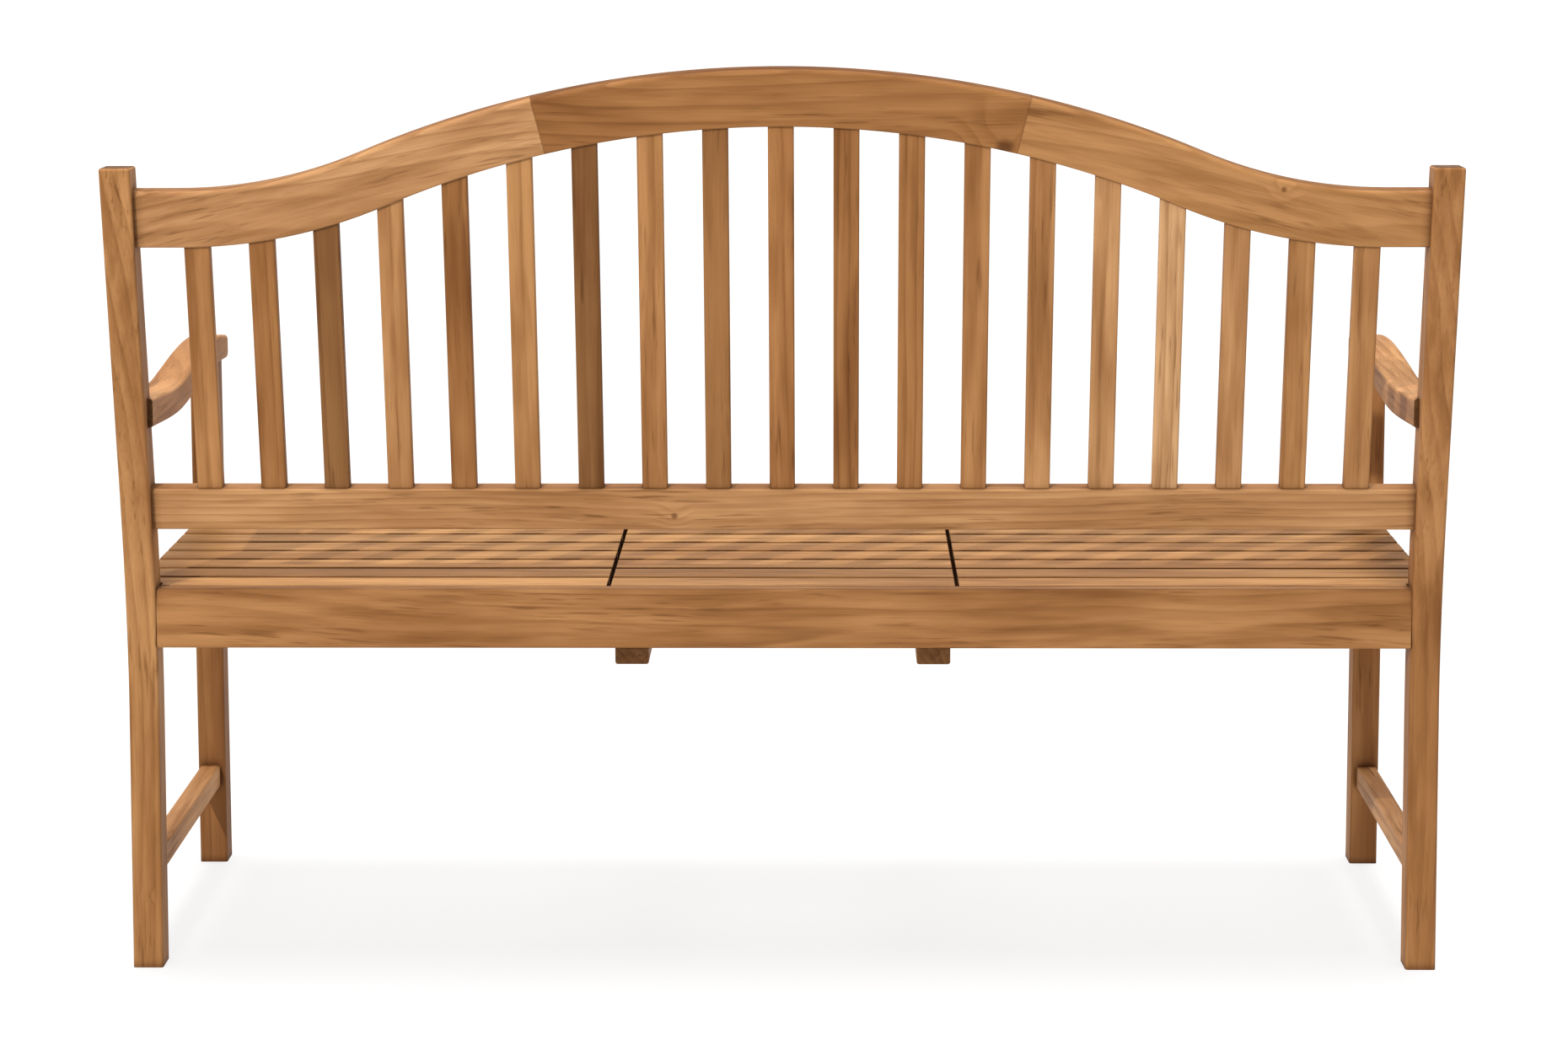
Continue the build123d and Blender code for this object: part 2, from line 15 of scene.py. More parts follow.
import bpy
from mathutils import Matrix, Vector


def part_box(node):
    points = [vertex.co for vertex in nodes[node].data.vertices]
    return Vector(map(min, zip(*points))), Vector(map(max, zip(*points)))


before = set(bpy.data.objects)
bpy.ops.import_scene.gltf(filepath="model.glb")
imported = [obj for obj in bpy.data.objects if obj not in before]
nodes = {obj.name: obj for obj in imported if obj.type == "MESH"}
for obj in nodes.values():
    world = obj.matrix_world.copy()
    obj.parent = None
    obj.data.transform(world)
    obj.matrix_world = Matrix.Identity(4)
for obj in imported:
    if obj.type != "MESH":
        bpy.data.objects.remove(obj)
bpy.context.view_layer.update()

# %% [markdown]
# ## A few small helpers
#
# A material is a graph of nodes. Placing each node by hand takes three lines: make it, set it,
# wire it. `put` does all three, so the recipes further down read like a list of ingredients,
# and the helpers after it give the commonest nodes a short name. Colours are easier to judge
# as the 0-255 numbers a paint chart uses, so `linear` turns those into the light values that
# the renderer works in.

# %% Helpers for building node graphs
def put(tree, kind, feeds=(), **settings):
    """Add one shader node. Feeds are values or sockets to wire in, by input name or number."""
    made = tree.nodes.new("ShaderNode" + kind)
    for key, value in settings.items():
        setattr(made, key, value)
    for key, value in dict(feeds).items():
        if isinstance(value, bpy.types.NodeSocket):
            tree.links.new(value, made.inputs[key])
        else:
            made.inputs[key].default_value = value
    return made


def math_node(tree, operation, *values):
    """One Math node's output."""
    return put(tree, "Math", dict(enumerate(values)), operation=operation).outputs[0]


def vector_node(tree, operation, *values):
    """One Vector Math node's output: a number for a length or a product, else a vector."""
    made = put(tree, "VectorMath", dict(enumerate(values)), operation=operation)
    gives_number = operation in ("LENGTH", "DISTANCE", "DOT_PRODUCT")
    return made.outputs["Value" if gives_number else "Vector"]


def mix_colour(tree, amount, a, b, blend="MIX"):
    """One colour Mix node's output."""
    feeds = {0: amount, 6: a, 7: b}
    return put(tree, "Mix", feeds, data_type="RGBA", blend_type=blend).outputs[2]


def remap(tree, value, low, high, to_low=0.0, to_high=1.0, smooth=True):
    """Stretch one range of values onto another."""
    feeds = {"Value": value, "From Min": low, "From Max": high, "To Min": to_low, "To Max": to_high}
    kind = "SMOOTHSTEP" if smooth else "LINEAR"
    return put(tree, "MapRange", feeds, interpolation_type=kind).outputs[0]


# %% Helpers for colours and empty materials
def linear(red, green, blue, lift=1.0):
    """A 0-255 screen colour as a linear RGBA colour, made lighter or darker by lift."""
    def one(v):
        v /= 255
        return v / 12.92 if v <= 0.04045 else ((v + 0.055) / 1.055) ** 2.4
    return tuple(min(1.0, one(v) * lift) for v in (red, green, blue)) + (1.0,)


def empty_material(name):
    """A new material and its node graph, with no nodes in it yet."""
    material = bpy.data.materials.new(name)
    material.use_nodes = True
    material.node_tree.nodes.clear()
    return material, material.node_tree


# %% [markdown]
# ## How a plank gets its figure
#
# A tree grows in rings. Saw a plank out of the trunk and the rings show as lines along its
# length. Where the saw passes close to the heart of the tree the lines open into tall arches,
# and far from the heart they run nearly straight. One texture could be painted for each face,
# but then the lines would not meet at the edges. A solid texture is better: we describe the
# trunk in space, and each board is simply a piece cut from it. Faces, edges and end grain then
# agree by themselves.
#
# The recipe, inside one piece's own coordinates:
#
# 1. turn the coordinates so that X runs along the grain,
# 2. move the trunk's heart to a chosen distance from the board,
# 3. bend the trunk a little with slow noise, so that no line is quite straight,
# 4. measure the distance from the heart and cut it into rings,
# 5. add fine fibres, short dark pores, and slow changes of tone along the plank.

# %% Finding a board's place in its trunk
APART_ALONG = 3.7               # metres between two boards' stretches of trunk
ROW_SCATTER = (5.0, 0.10, 0.06)  # how far apart the trunks of one piece's rows are


def grain_space(tree, along, centre, heart, seed, rows=None):
    """Coordinates with X along the grain and the trunk's heart on the X axis."""
    turn = Vector(along).rotation_difference(Vector((1, 0, 0)))
    moved = -(turn @ Vector(centre)) + Vector((seed * APART_ALONG, heart[0], heart[1]))
    place = put(tree, "TexCoord").outputs["Object"]
    row_tone = None
    if rows:
        # Several boards in one piece: each row takes its own length of trunk.
        pitch, first = rows
        y = put(tree, "SeparateXYZ", {0: place}).outputs["Y"]
        steps = math_node(tree, "DIVIDE", math_node(tree, "SUBTRACT", y, first), pitch)
        index = math_node(tree, "ADD", math_node(tree, "ROUND", steps), seed * 11.3)
        random = put(tree, "TexWhiteNoise", {"W": index}, noise_dimensions="1D")
        shift = vector_node(tree, "MULTIPLY", random.outputs["Color"], ROW_SCATTER)
        place = vector_node(tree, "ADD", place, shift)
        row_tone = random.outputs["Value"]
    spot = put(tree, "Mapping", {"Vector": place, "Location": moved, "Rotation": turn.to_euler()})
    return spot.outputs["Vector"], row_tone


# %% [markdown]
# Wood is long in one direction, and so are all its marks. `noise` squeezes the coordinates
# along the grain before it reads a noise texture, which draws every blot out into a streak.
# `bend` uses the colour of such a noise to push the trunk sideways. A slow, wide push makes
# the trunk crooked, and a quick, tiny one makes each ring tremble.

# %% Streaks and bends
def noise(tree, where, scale, stretch, detail=2.0, roughness=0.5, output=0):
    """Noise drawn out along the grain by the given stretch. Output 1 is its colour."""
    longer = vector_node(tree, "MULTIPLY", where, (1 / stretch, 1, 1))
    feeds = {"Vector": longer, "Scale": scale, "Detail": detail, "Roughness": roughness}
    return put(tree, "TexNoise", feeds).outputs[output]


def bend(tree, where, push, size):
    """Move coordinates sideways by a noise colour, up to size each way."""
    centred = vector_node(tree, "SUBTRACT", push, (0.5, 0.5, 0.5))
    sideways = vector_node(tree, "MULTIPLY", centred, (0, 2 * size, 2 * size))
    return vector_node(tree, "ADD", where, sideways)


# %% [markdown]
# ## Rings and knots
#
# Rings give two things: a slow swing of tone from one year to the next, and a thin dark line
# where a year's growth ends. The years are uneven, so the count runs faster and slower as the
# trunk grows. A knot is a cut branch: the rings part around it and its middle is dark. Both
# effects need only the distance from a point, so a knot is one place and one size.

# %% From distance to rings
SLOW_BEND = 0.034      # metres that a trunk wanders from straight
FINE_BEND = 0.0022     # and that a single ring wobbles
LATE_WOOD = 0.86       # the part of a year after which growth stops
UNEVEN_YEARS = 1.6     # how many rings the count runs ahead or behind


def around_knots(tree, distance, knots):
    """The distance from the heart, pushed out near knots, and how dark the knots are."""
    knot_dark = None
    for *spot, size in knots:
        here = put(tree, "TexCoord").outputs["Object"]
        away = vector_node(tree, "DISTANCE", here, spot)
        pull = remap(tree, away, 0.0, size * 6, 1.0, 0.0)
        distance = math_node(tree, "MULTIPLY_ADD", pull, size * 2.2, distance)
        dark = remap(tree, away, size * 0.3, size * 1.2, 1.0, 0.0)
        knot_dark = dark if knot_dark is None else math_node(tree, "MAXIMUM", knot_dark, dark)
    return distance, knot_dark


def year_rings(tree, grain, figure, ring, knots):
    """Bent coordinates, the tone of each year, its closing line, and the knots' darkness."""
    crooked = noise(tree, grain, 2.4, 2.2, 2.0, 0.45, output=1)
    trembling = noise(tree, grain, 30.0, 8.0, 2.0, 0.5, output=1)
    bent = bend(tree, bend(tree, grain, crooked, SLOW_BEND * figure), trembling, FINE_BEND)
    across = vector_node(tree, "MULTIPLY", bent, (0, 1, 1))
    distance = vector_node(tree, "LENGTH", across)
    distance, knot_dark = around_knots(tree, distance, knots)

    uneven = noise(tree, across, 22.0, 1.0, 1.0, 0.5)
    count = math_node(tree, "DIVIDE", distance, ring)
    year = math_node(tree, "FRACT", math_node(tree, "MULTIPLY_ADD", uneven, UNEVEN_YEARS, count))
    drop = remap(tree, year, LATE_WOOD, 1.0, 1.0, 0.0)
    band = math_node(tree, "MULTIPLY", remap(tree, year, 0.10, LATE_WOOD), drop)
    line = math_node(tree, "MULTIPLY", remap(tree, year, 0.66, 0.90), drop)
    patch = remap(tree, noise(tree, grain, 11.0, 5.0, 2.0, 0.55), 0.38, 0.64)
    return bent, band, math_node(tree, "MULTIPLY", line, patch), knot_dark


# %% [markdown]
# ## The colour of one board
#
# A board's ground colour drifts between a paler and a warmer mix of its own shade. On top of
# it lie the rings and the small marks of the fibres: broad soft bands, fine threads, and short
# dark streaks that come in patches. Each mark multiplies the colour below it, as a stain
# would, so that dark boards keep dark lines and pale boards pale ones.

# %% Stains on the ground colour
BAND_TINT = (0.69, 0.62, 0.53, 1)
RING_TINT = (0.58, 0.51, 0.42, 1)
STREAK_TINT = (0.44, 0.36, 0.28, 1)
KNOT_TINT = (0.34, 0.26, 0.20, 1)


def stain(tree, colour, field, tint, share=None):
    """Multiply the colour by a tint where the field is high, by no more than share."""
    amount = field if share is None else math_node(tree, "MULTIPLY", field, share)
    return mix_colour(tree, amount, colour, tint, "MULTIPLY")


def ground_colour(tree, grain, shade):
    """The board's own shade, drifting between a paler and a warmer mix."""
    red, green, blue = shade
    pale = linear(red * 1.01, green * 1.015, blue * 0.98, lift=1.10)
    warm = linear(red, green * 0.955, blue * 0.87, lift=0.80)
    tone = noise(tree, grain, 13.0, 4.5, 3.0, 0.6)
    return mix_colour(tree, remap(tree, tone, 0.34, 0.66), pale, warm)


# %% [markdown]
# End grain drinks more oil than a face does, so it is darker. It shows where a surface looks
# along the grain, which the surface's own normal tells us. The boards of the crest rail meet
# in glued butt joints. Up close such a joint is one hair-thin dark line in a known plane, so
# the distance to that plane is all it takes to draw it.

# %% End grain and glue lines
END_TINT = (0.25, 0.23, 0.21, 1)
END_SHARE = 0.85
GLUE_HALF, GLUE_FADE = 0.0004, 0.0012   # metres from the joint's plane: full line, no line


def darken_ends(tree, colour, normal, along):
    """Darken the surfaces that look along the grain."""
    facing = vector_node(tree, "DOT_PRODUCT", normal, Vector(along).normalized())
    end = remap(tree, math_node(tree, "ABSOLUTE", facing), 0.80, 0.96)
    return stain(tree, colour, end, END_TINT, END_SHARE)


def glue_line(tree, colour, point, across_joint):
    """Draw the thin dark line of a joint in the plane through point."""
    here = put(tree, "TexCoord").outputs["Object"]
    depth = vector_node(tree, "DOT_PRODUCT", vector_node(tree, "SUBTRACT", here, point), across_joint)
    line = remap(tree, math_node(tree, "ABSOLUTE", depth), GLUE_HALF, GLUE_FADE, 0.55, 0.0)
    return stain(tree, colour, line, STREAK_TINT)


# %% [markdown]
# ## Wear, painted highlight and painted shade
#
# Hands and weather rub the oil off the edges and let a little pale wood through, and the same
# pale edge also stands in for the light a rounded edge would catch: a painted highlight. A Bevel
# node finds the edges: it gives the normal of an imagined rounding, which leaves the true normal
# only near an edge. In the corners the opposite happens: an Ambient Occlusion node with a short
# reach darkens them, as painted shade where two pieces meet and in the seat's gaps. The faces of the
# crest rail and the bottom rail that look up at the sky are darkened too, as painted shade.

# %% Pale edges of wear and painted highlight, painted shade in corners and on tops
EDGE_REACH = 0.0022    # how far the pale edge of wear and painted highlight creeps in from an edge
SHADE_REACH = 0.012     # and how far the painted shade spreads out of a corner
# The colour of the painted shade in corners, joints, gaps and on tops.
PAINTED_SHADE_TINT = (0.30, 0.23, 0.17, 1)
WEAR_AND_HIGHLIGHT_SHARE = 0.30


def worn_and_highlit_edges(tree, colour, grain, shade):
    """Pale edges: worn wood, and a painted highlight on the rounding. Also gives back where they are."""
    red, green, blue = shade
    soft = put(tree, "Bevel", {"Radius": EDGE_REACH}, samples=4).outputs[0]
    true = put(tree, "NewGeometry").outputs["Normal"]
    near = vector_node(tree, "DOT_PRODUCT", soft, true)
    edge = remap(tree, near, 0.80, 0.995, 1.0, 0.0)
    rubbed = remap(tree, noise(tree, grain, 90.0, 6.0, 2.0, 0.6), 0.40, 0.62)
    edge_wear_and_highlight = math_node(tree, "MULTIPLY", edge, rubbed)
    # Part real wear, part painted highlight where a rounded edge would catch the light.
    pale = linear(red * 1.08, green * 1.10, blue * 1.12)
    return mix_colour(tree, math_node(tree, "MULTIPLY", edge_wear_and_highlight, WEAR_AND_HIGHLIGHT_SHARE), colour, pale), edge_wear_and_highlight


def painted_corner_and_top_shade(tree, colour, normal, corner_shade, top_shade):
    """Paint shade into the corners and gaps, and onto upward faces if asked."""
    feeds = {"Distance": SHADE_REACH}
    # Ambient occlusion with a short reach: painted shade in corners, joints and gaps.
    open_air = put(tree, "AmbientOcclusion", feeds, samples=6).outputs["AO"]
    painted_shade = remap(tree, open_air, 0.44, 0.94, corner_shade, 0.0, smooth=False)
    # Painted shade on upward faces, darkest where they look straight up.
    if top_shade:
        upward = put(tree, "SeparateXYZ", {0: normal}).outputs["Z"]
        top_darkness = remap(tree, upward, 0.72, 0.95, 0.0, top_shade)
        painted_shade = math_node(tree, "MAXIMUM", painted_shade, top_darkness)
    return stain(tree, colour, painted_shade, PAINTED_SHADE_TINT)


# %% [markdown]
# ## The whole recipe
#
# `timber` puts the steps in order and ends with the surface. Dark late wood and open pores lie
# a hair lower than the wood between them, so the same fields that stain the colour drive the
# bump. Oiled wood that has stood outdoors is nearly matt: high roughness, a little uneven
# along the fibres, and only a faint reflection.

# %% A board's material
def timber(name, shade, along, centre, heart, seed=0.0, figure=1.0, ring=0.009, rows=None,
           knots=(), glue_planes=(), corner_shade=0.92, top_shade=0.0):
    """A hardwood board's material. shade is its overall colour on a 0-255 chart."""
    material, tree = empty_material(name)
    grain, row_tone = grain_space(tree, along, centre, heart, seed, rows)
    bent, band, line, knot_dark = year_rings(tree, grain, figure, ring, knots)
    broad = remap(tree, noise(tree, bent, 60.0, 12.0, 3.0, 0.55), 0.42, 0.68)
    fibre = noise(tree, grain, 620.0, 50.0, 2.0, 0.6)
    threads = remap(tree, fibre, 0.35, 0.75)
    fine = remap(tree, noise(tree, bent, 260.0, 18.0, 2.0, 0.5), 0.54, 0.70)
    patches = remap(tree, noise(tree, grain, 20.0, 4.0, 1.0, 0.5), 0.44, 0.62)
    streak = math_node(tree, "MULTIPLY", fine, patches)

    colour = ground_colour(tree, grain, shade)
    for field, share, tint in ((band, 0.42, BAND_TINT), (line, 0.38, RING_TINT),
                               (broad, 0.75, BAND_TINT), (threads, 0.30, BAND_TINT),
                               (streak, 0.60, STREAK_TINT)):
        colour = stain(tree, colour, field, tint, share)
    if knot_dark is not None:
        colour = stain(tree, colour, knot_dark, KNOT_TINT, 0.8)
    if row_tone is not None:
        lift = remap(tree, row_tone, 0.0, 1.0, 0.90, 1.10, smooth=False)
        colour = put(tree, "VectorMath", {"Vector": colour, "Scale": lift}, operation="SCALE").outputs[0]

    normal = put(tree, "TexCoord").outputs["Normal"]
    colour = darken_ends(tree, colour, normal, along)
    for point, across_joint in glue_planes:
        colour = glue_line(tree, colour, point, across_joint)
    # Pale edges: part wear, part painted highlight.
    colour, edge_wear_and_highlight = worn_and_highlit_edges(tree, colour, grain, shade)
    # Painted shade in corners and gaps, and on upward faces where asked.
    colour = painted_corner_and_top_shade(tree, colour, normal, corner_shade, top_shade)

    low = math_node(tree, "MULTIPLY_ADD", streak, -0.8, math_node(tree, "MULTIPLY", line, -0.4))
    height = math_node(tree, "MULTIPLY_ADD", fibre, 0.8, low)
    bump = put(tree, "Bump", {"Height": height, "Strength": 0.25, "Distance": 0.0006})
    rough = remap(tree, fibre, 0.3, 0.8, 0.54, 0.68)
    surface = put(tree, "BsdfPrincipled", {
        "Base Color": colour, "Normal": bump.outputs[0], "Specular IOR Level": 0.09,
        "Roughness": math_node(tree, "MULTIPLY_ADD", edge_wear_and_highlight, 0.10, rough)})
    put(tree, "OutputMaterial", {"Surface": surface.outputs[0]})
    return material


# %% [markdown]
# ## Which board goes where
#
# No two boards in a real bench match. Each one comes from another tree or another part of it,
# so every piece gets its own tone, its own stretch of trunk and its own distance from the
# heart. The grain always runs along the length of a piece, because wood splits when it does
# not. For the leaning back that direction leans too, and the outer boards of the crest rail
# are cut aslant to follow its slope.

# %% Directions of the grain
RAKE = math.atan(0.2)              # the lean of the back
RAIL_TILT = math.radians(13.5)     # the slope of the outer crest boards
LINK_TILT = math.radians(8)        # the slope of the lifting links at rest
ALONG_X, ALONG_Y, ALONG_Z = (1, 0, 0), (0, 1, 0), (0, 0, 1)
UP_BACK = (0, math.sin(RAKE), math.cos(RAKE))
DOWN_LEFT = (math.cos(RAIL_TILT), 0, -math.sin(RAIL_TILT))
DOWN_RIGHT = (math.cos(RAIL_TILT), 0, math.sin(RAIL_TILT))
ALONG_LINK = (0, math.cos(LINK_TILT), math.sin(LINK_TILT))

# %% [markdown]
# A handful of named tones is enough for the whole bench, from the creamiest sapwood to a
# smoky brown. The back slats show the mix best: they stand side by side, so neighbours of the
# same tone would look like one printed sheet.

# %% Tones
TONES = {
    "cream": (202, 158, 118), "wheat": (195, 149, 108), "straw": (188, 141, 99),
    "pale": (181, 133, 90), "honey": (175, 127, 83), "amber": (170, 121, 78),
    "tan": (165, 115, 72), "russet": (156, 108, 66), "nut": (146, 101, 62),
    "smoke": (132, 91, 55), "gold": (163, 120, 77)}
BACK_SLAT_TONES = (
    "amber russet smoke pale russet honey smoke amber nut tan "
    "russet russet amber pale straw cream straw honey pale").split()

# %% The boards, one line each
BOARDS = {
    # name: (tone, way of the grain, place from the heart, how wild the figure is)
    "rear_post_left": ("honey", ALONG_Z, (0.10, 0.20), 0.3),
    "rear_post_right": ("amber", ALONG_Z, (0.13, 0.17), 0.3),
    "front_leg_left": ("nut", ALONG_Z, (0.16, 0.10), 0.3),
    "front_leg_right": ("amber", ALONG_Z, (0.16, 0.12), 0.3),
    "arm_left": ("pale", ALONG_Y, (0.10, 0.15), 0.6),
    "arm_right": ("pale", ALONG_Y, (0.12, 0.14), 0.6),
    "crest_center": ("russet", ALONG_X, (0.16, 0.05), 1.0),
    "crest_left": ("wheat", DOWN_LEFT, (0.12, 0.06), 1.0),
    "crest_right": ("honey", DOWN_RIGHT, (0.14, 0.05), 1.0),
    "back_bottom_rail": ("straw", ALONG_X, (0.03, 0.07), 1.2),
    "rear_apron": ("amber", ALONG_X, (0.035, 0.012), 1.3),
    "front_apron": ("honey", ALONG_X, (0.04, 0.02), 1.3),
    "side_rail_left": ("amber", ALONG_Y, (0.12, 0.08), 1.0),
    "side_rail_right": ("tan", ALONG_Y, (0.10, 0.09), 1.0),
    "stretcher_left": ("pale", ALONG_Y, (0.13, 0.11), 1.0),
    "stretcher_right": ("straw", ALONG_Y, (0.12, 0.12), 1.0),
    "seat_bearer_left": ("tan", ALONG_Y, (0.10, 0.10), 1.0),
    "seat_bearer_right": ("amber", ALONG_Y, (0.12, 0.08), 1.0),
    "table_bearer_left": ("amber", ALONG_Y, (0.10, 0.10), 1.0),
    "table_bearer_right": ("tan", ALONG_Y, (0.12, 0.09), 1.0),
    "table_cleat_left": ("honey", ALONG_Y, (0.11, 0.12), 1.0),
    "table_cleat_right": ("amber", ALONG_Y, (0.10, 0.10), 1.0),
    "rear_link_bar": ("tan", ALONG_X, (0.12, 0.10), 1.0),
    "front_link_bar": ("amber", ALONG_X, (0.11, 0.12), 1.0),
}
for end in ("rear", "front"):
    for side in ("left", "right"):
        BOARDS[f"{end}_link_{side}"] = ("honey", ALONG_LINK, (0.11, 0.12), 0.8)
for k, tone in enumerate(BACK_SLAT_TONES):
    heart = (0.06 + 0.02 * (k % 5), 0.02 + 0.03 * (k % 4))
    BOARDS[f"back_slat_{k + 1:02d}"] = (tone, UP_BACK, heart, 0.5)

# Average width of one year's growth, where it isn't the usual 9 mm.
USUAL_RING = 0.009
RINGS = {"rear_post": 0.013, "front_leg": 0.012, "back_slat": 0.012}
print(f"{len(BOARDS)} boards chosen")

# %% [markdown]
# ## Knots and glued joints
#
# Three places on the back are easiest to give as a distance across the bench and a distance
# up its lean, so `on_back` turns those two into a point. The crest rail is an arc of a large
# circle, and its boards are glued along radii of that circle. A joint's plane is therefore
# known from the circle's hub and the place where the joint crosses the arc.

# %% Where they lie
BACK_FOOT_Y = 0.1115          # where the posts' leaning rear faces would meet the floor
RAIL_INSET = 0.009            # how far the rails lie in from those faces
CROWN_RADIUS, CROWN_TOP, JOINT_X = 1.151, 1.040, 0.270
BACK_FOOT = Vector((0, BACK_FOOT_Y, 0))
CROWN_HUB = BACK_FOOT + (CROWN_TOP - CROWN_RADIUS) * Vector(UP_BACK)


def on_back(x, up):
    """A point on the rear face of the back's rails, up metres along the lean."""
    inward = Vector((0, -math.cos(RAKE), math.sin(RAKE)))
    return Vector((x, BACK_FOOT_Y, 0)) + up * Vector(UP_BACK) + RAIL_INSET * inward


def crest_joint(side):
    """The plane where two boards of the crest rail meet: a point on it and its direction."""
    turn = math.asin(JOINT_X / CROWN_RADIUS)
    return CROWN_HUB, Vector((side * math.cos(turn), 0, 0)) - math.sin(turn) * Vector(UP_BACK)


GLUE = {"crest_center": [crest_joint(1), crest_joint(-1)], "crest_left": [crest_joint(1)],
        "crest_right": [crest_joint(-1)]}
KNOTS = {
    # (x, y, z, radius of the dark middle)
    "back_bottom_rail": [(*on_back(0.124, 0.545), 0.0045)],
    "crest_center": [(*on_back(-0.249, 0.984), 0.012)],
    "crest_right": [(*on_back(-0.56, 0.935), 0.004)],
    "rear_post_left": [(0.727, 0.200, 0.351, 0.003), (0.739, 0.204, 0.085, 0.0025)],
}

# %% [markdown]
# ## Dressing the pieces
#
# A piece that is one board gets one material. Each seat panel is a single piece made of eight
# slats, so its material is told how far apart the slats are and starts a new trunk for each.
# The slats lie 57 mm apart, and the rearmost has its middle 154 mm behind the bench's centre.

# %% Give every wooden piece its own timber
ROW_PITCH, FIRST_ROW = 0.057, 0.154
# These pieces get painted shade on the faces that look up.
SHADED_TOPS = ("crest", "back_bottom")


def dress(name, material):
    """Put one material on every slot of a CAD piece."""
    for place in nodes[name].material_slots:
        place.material = material


def middle(name):
    """The middle of a piece's box."""
    low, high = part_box(name)
    return [(a + b) / 2 for a, b in zip(low, high)]


for number, (name, (tone, along, heart, figure)) in enumerate(sorted(BOARDS.items())):
    dress(name, timber(
        f"timber_{name}", TONES[tone], along, middle(name), heart, seed=number + 1,
        figure=figure, knots=KNOTS.get(name, ()), glue_planes=GLUE.get(name, ()),
        ring=RINGS.get(name[:9], USUAL_RING),
        top_shade=0.55 if name.startswith(SHADED_TOPS) else 0.0))
# The seat panels get a little less painted shade in their gaps than the boards get in their corners.
for number, name in enumerate(("seat_slats_left", "table_slats", "seat_slats_right")):
    dress(name, timber(
        f"timber_{name}", TONES["gold"], ALONG_X, middle(name), (0.10, 0.06),
        seed=61.5 + number * 3, figure=0.9, rows=(ROW_PITCH, FIRST_ROW), corner_shade=0.85))
print(f"{len(BOARDS) + 3} timbers made")

# %% [markdown]
# ## Zinc-plated steel
#
# Screws and hinge bolts are the only metal. Plating is bright but not a mirror, with faint
# cloudy patches. Metal needs little more than full metallic, a grey tint and uneven roughness.

# %% Steel for the hinge bolts and screws
def zinc(name):
    """Cloudy bright plating."""
    material, tree = empty_material(name)
    place = put(tree, "TexCoord").outputs["Object"]
    cloud = put(tree, "TexNoise", {"Vector": place, "Scale": 220.0, "Detail": 3.0}).outputs[0]
    rough = remap(tree, cloud, 0.3, 0.7, 0.28, 0.46)
    colour = mix_colour(tree, cloud, (0.52, 0.53, 0.55, 1), (0.68, 0.68, 0.67, 1))
    feeds = {"Base Color": colour, "Roughness": rough, "Metallic": 1.0}
    surface = put(tree, "BsdfPrincipled", feeds)
    put(tree, "OutputMaterial", {"Surface": surface.outputs[0]})
    return material


steel = zinc("zinc_plate")
metal = [name for name in nodes if name.endswith(("screws", "bolts")) or "_screws_" in name]
for name in metal:
    dress(name, steel)
print(f"{len(metal)} pieces plated")

# %% [markdown]
# ## The studio
#
# The bench stands on a white floor that runs out to the horizon under a white sky, so light
# arrives from everywhere and shadows stay soft. A floor that only reflects would look grey
# beside a white sky, so most of its brightness is its own glow and a small part is reflected
# light, which is enough to show the pale shade under the seat.

# %% Floor
def white_floor():
    """A large plane that mostly glows and reflects a little."""
    bpy.ops.mesh.primitive_plane_add(size=120)
    floor = bpy.context.object
    floor.name = "studio_floor"
    material, tree = empty_material("studio_white")
    surface = put(tree, "BsdfPrincipled", {
        "Base Color": (0.20, 0.20, 0.20, 1), "Roughness": 0.9, "Specular IOR Level": 0.0,
        "Emission Color": (1, 1, 1, 1), "Emission Strength": 0.82})
    put(tree, "OutputMaterial", {"Surface": surface.outputs[0]})
    floor.data.materials.append(material)


white_floor()

# %% [markdown]
# The sky is white in two places only. A band along the horizon makes the background of the
# picture, and the half of the sky in front of the bench works as one big window. The rest is
# dim, so that the lamps below can still be seen to do something.

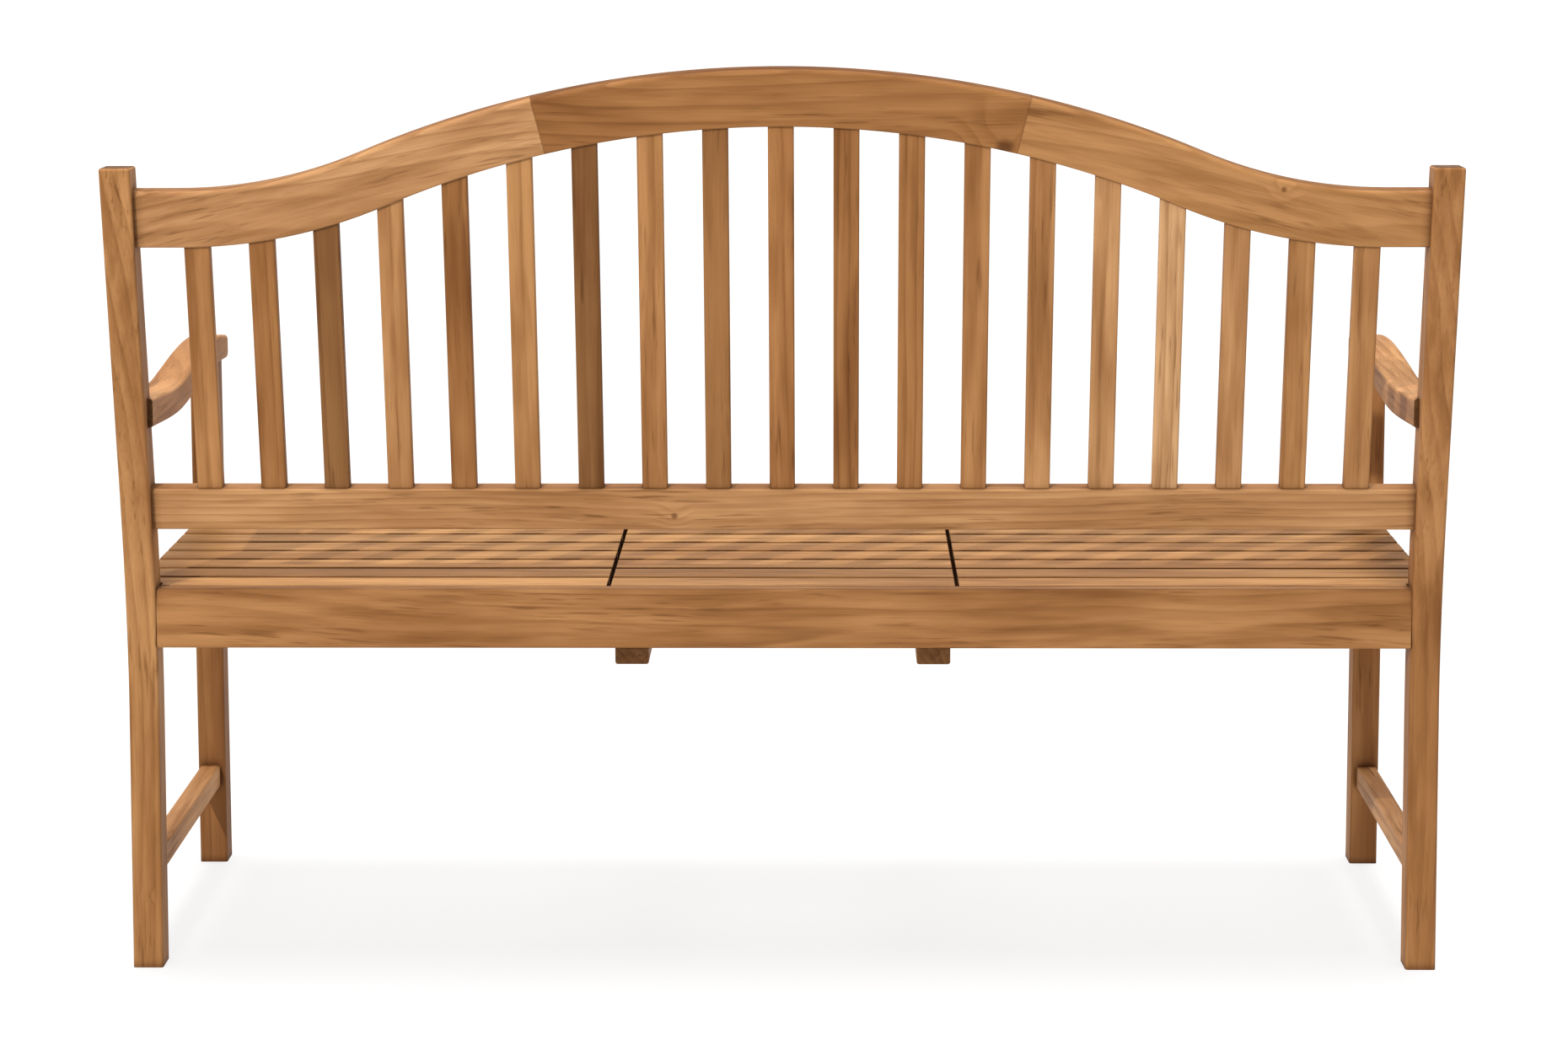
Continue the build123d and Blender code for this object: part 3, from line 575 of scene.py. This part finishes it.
# %% Sky
BAND_TOP, BAND_END = math.radians(4), math.radians(11)   # full white below, dim above
scene = bpy.context.scene
world = bpy.data.worlds.new("studio_sky")
world.use_nodes = True
sky = world.node_tree
sky.nodes.clear()
way = put(sky, "SeparateXYZ", {0: put(sky, "TexCoord").outputs["Generated"]})
horizon = remap(sky, way.outputs["Z"], math.sin(BAND_TOP), math.sin(BAND_END), 1.02, 0.10)
window = remap(sky, way.outputs["Y"], -0.55, 0.05, 1.0, 0.0)
strength = math_node(sky, "MAXIMUM", horizon, window)
backdrop = put(sky, "Background", {"Color": (1, 1, 1, 1), "Strength": strength})
put(sky, "OutputWorld", {"Surface": backdrop.outputs[0]})
scene.world = world
scene.view_settings.view_transform = "Standard"

# %% [markdown]
# Two lamps do the modelling. A soft one straight overhead brightens everything that faces up:
# the seat, the arms, the top of the crest rail. The key light hangs behind the bench and to
# the sitter's left. It is small and far away, so its edges are crisp: the back slats throw a
# row of short dark dashes into the gaps of the seat, and the posts draw a thin line of shade
# on the rails. Light linking keeps the key off the floor, so only the soft shade stays there.

# %% Lamps
KEY_WAY = Vector((0.389, 0.713, 0.583))      # from the bench to the key light
KEY_DISTANCE = 7.0
BENCH_MIDDLE = Vector((0, 0.1, 0.5))


def lamp(name, kind, place, aim, **settings):
    """A light at place, pointing at aim."""
    light = bpy.data.lights.new(name, kind)
    for key, value in settings.items():
        setattr(light, key, value)
    holder = bpy.data.objects.new(name, light)
    holder.location = place
    holder.rotation_euler = (Vector(aim) - Vector(place)).to_track_quat("-Z", "Y").to_euler()
    scene.collection.objects.link(holder)
    return holder


key_lamp = lamp("key_lamp", "AREA", BENCH_MIDDLE + KEY_DISTANCE * KEY_WAY, BENCH_MIDDLE,
                size=0.10, energy=352)
lamp("overhead_lamp", "SUN", (0, 0, 5), (0, 0, 0), angle=math.radians(24), energy=3.5)
lit = bpy.data.collections.new("lit_by_key")
for piece in nodes.values():
    lit.objects.link(piece)
key_lamp.light_linking.receiver_collection = lit

# %% [markdown]
# ## The camera
#
# The camera looks at the back of the bench from a little above the top rail with a long lens,
# which keeps the rails nearly parallel. A small downward lens shift helps the posts stay
# upright in the picture.

# %% Camera
PITCH, ROLL, YAW = 0.1286, 0.0016, 0.0118    # radians down, tilted, and turned from square
camera_data = bpy.data.cameras.new("camera")
camera_data.sensor_width = 36.0
camera_data.lens = 84.76
camera_data.shift_y = -0.11
camera = bpy.data.objects.new("camera", camera_data)
camera.location = (-0.0524, 4.3900, 1.2692)
camera.rotation_euler = (math.pi / 2 - PITCH, ROLL, math.pi + YAW)
scene.collection.objects.link(camera)
scene.camera = camera
print(f"camera {camera.location.y:.2f} m behind the bench, {camera_data.lens:.0f} mm lens")
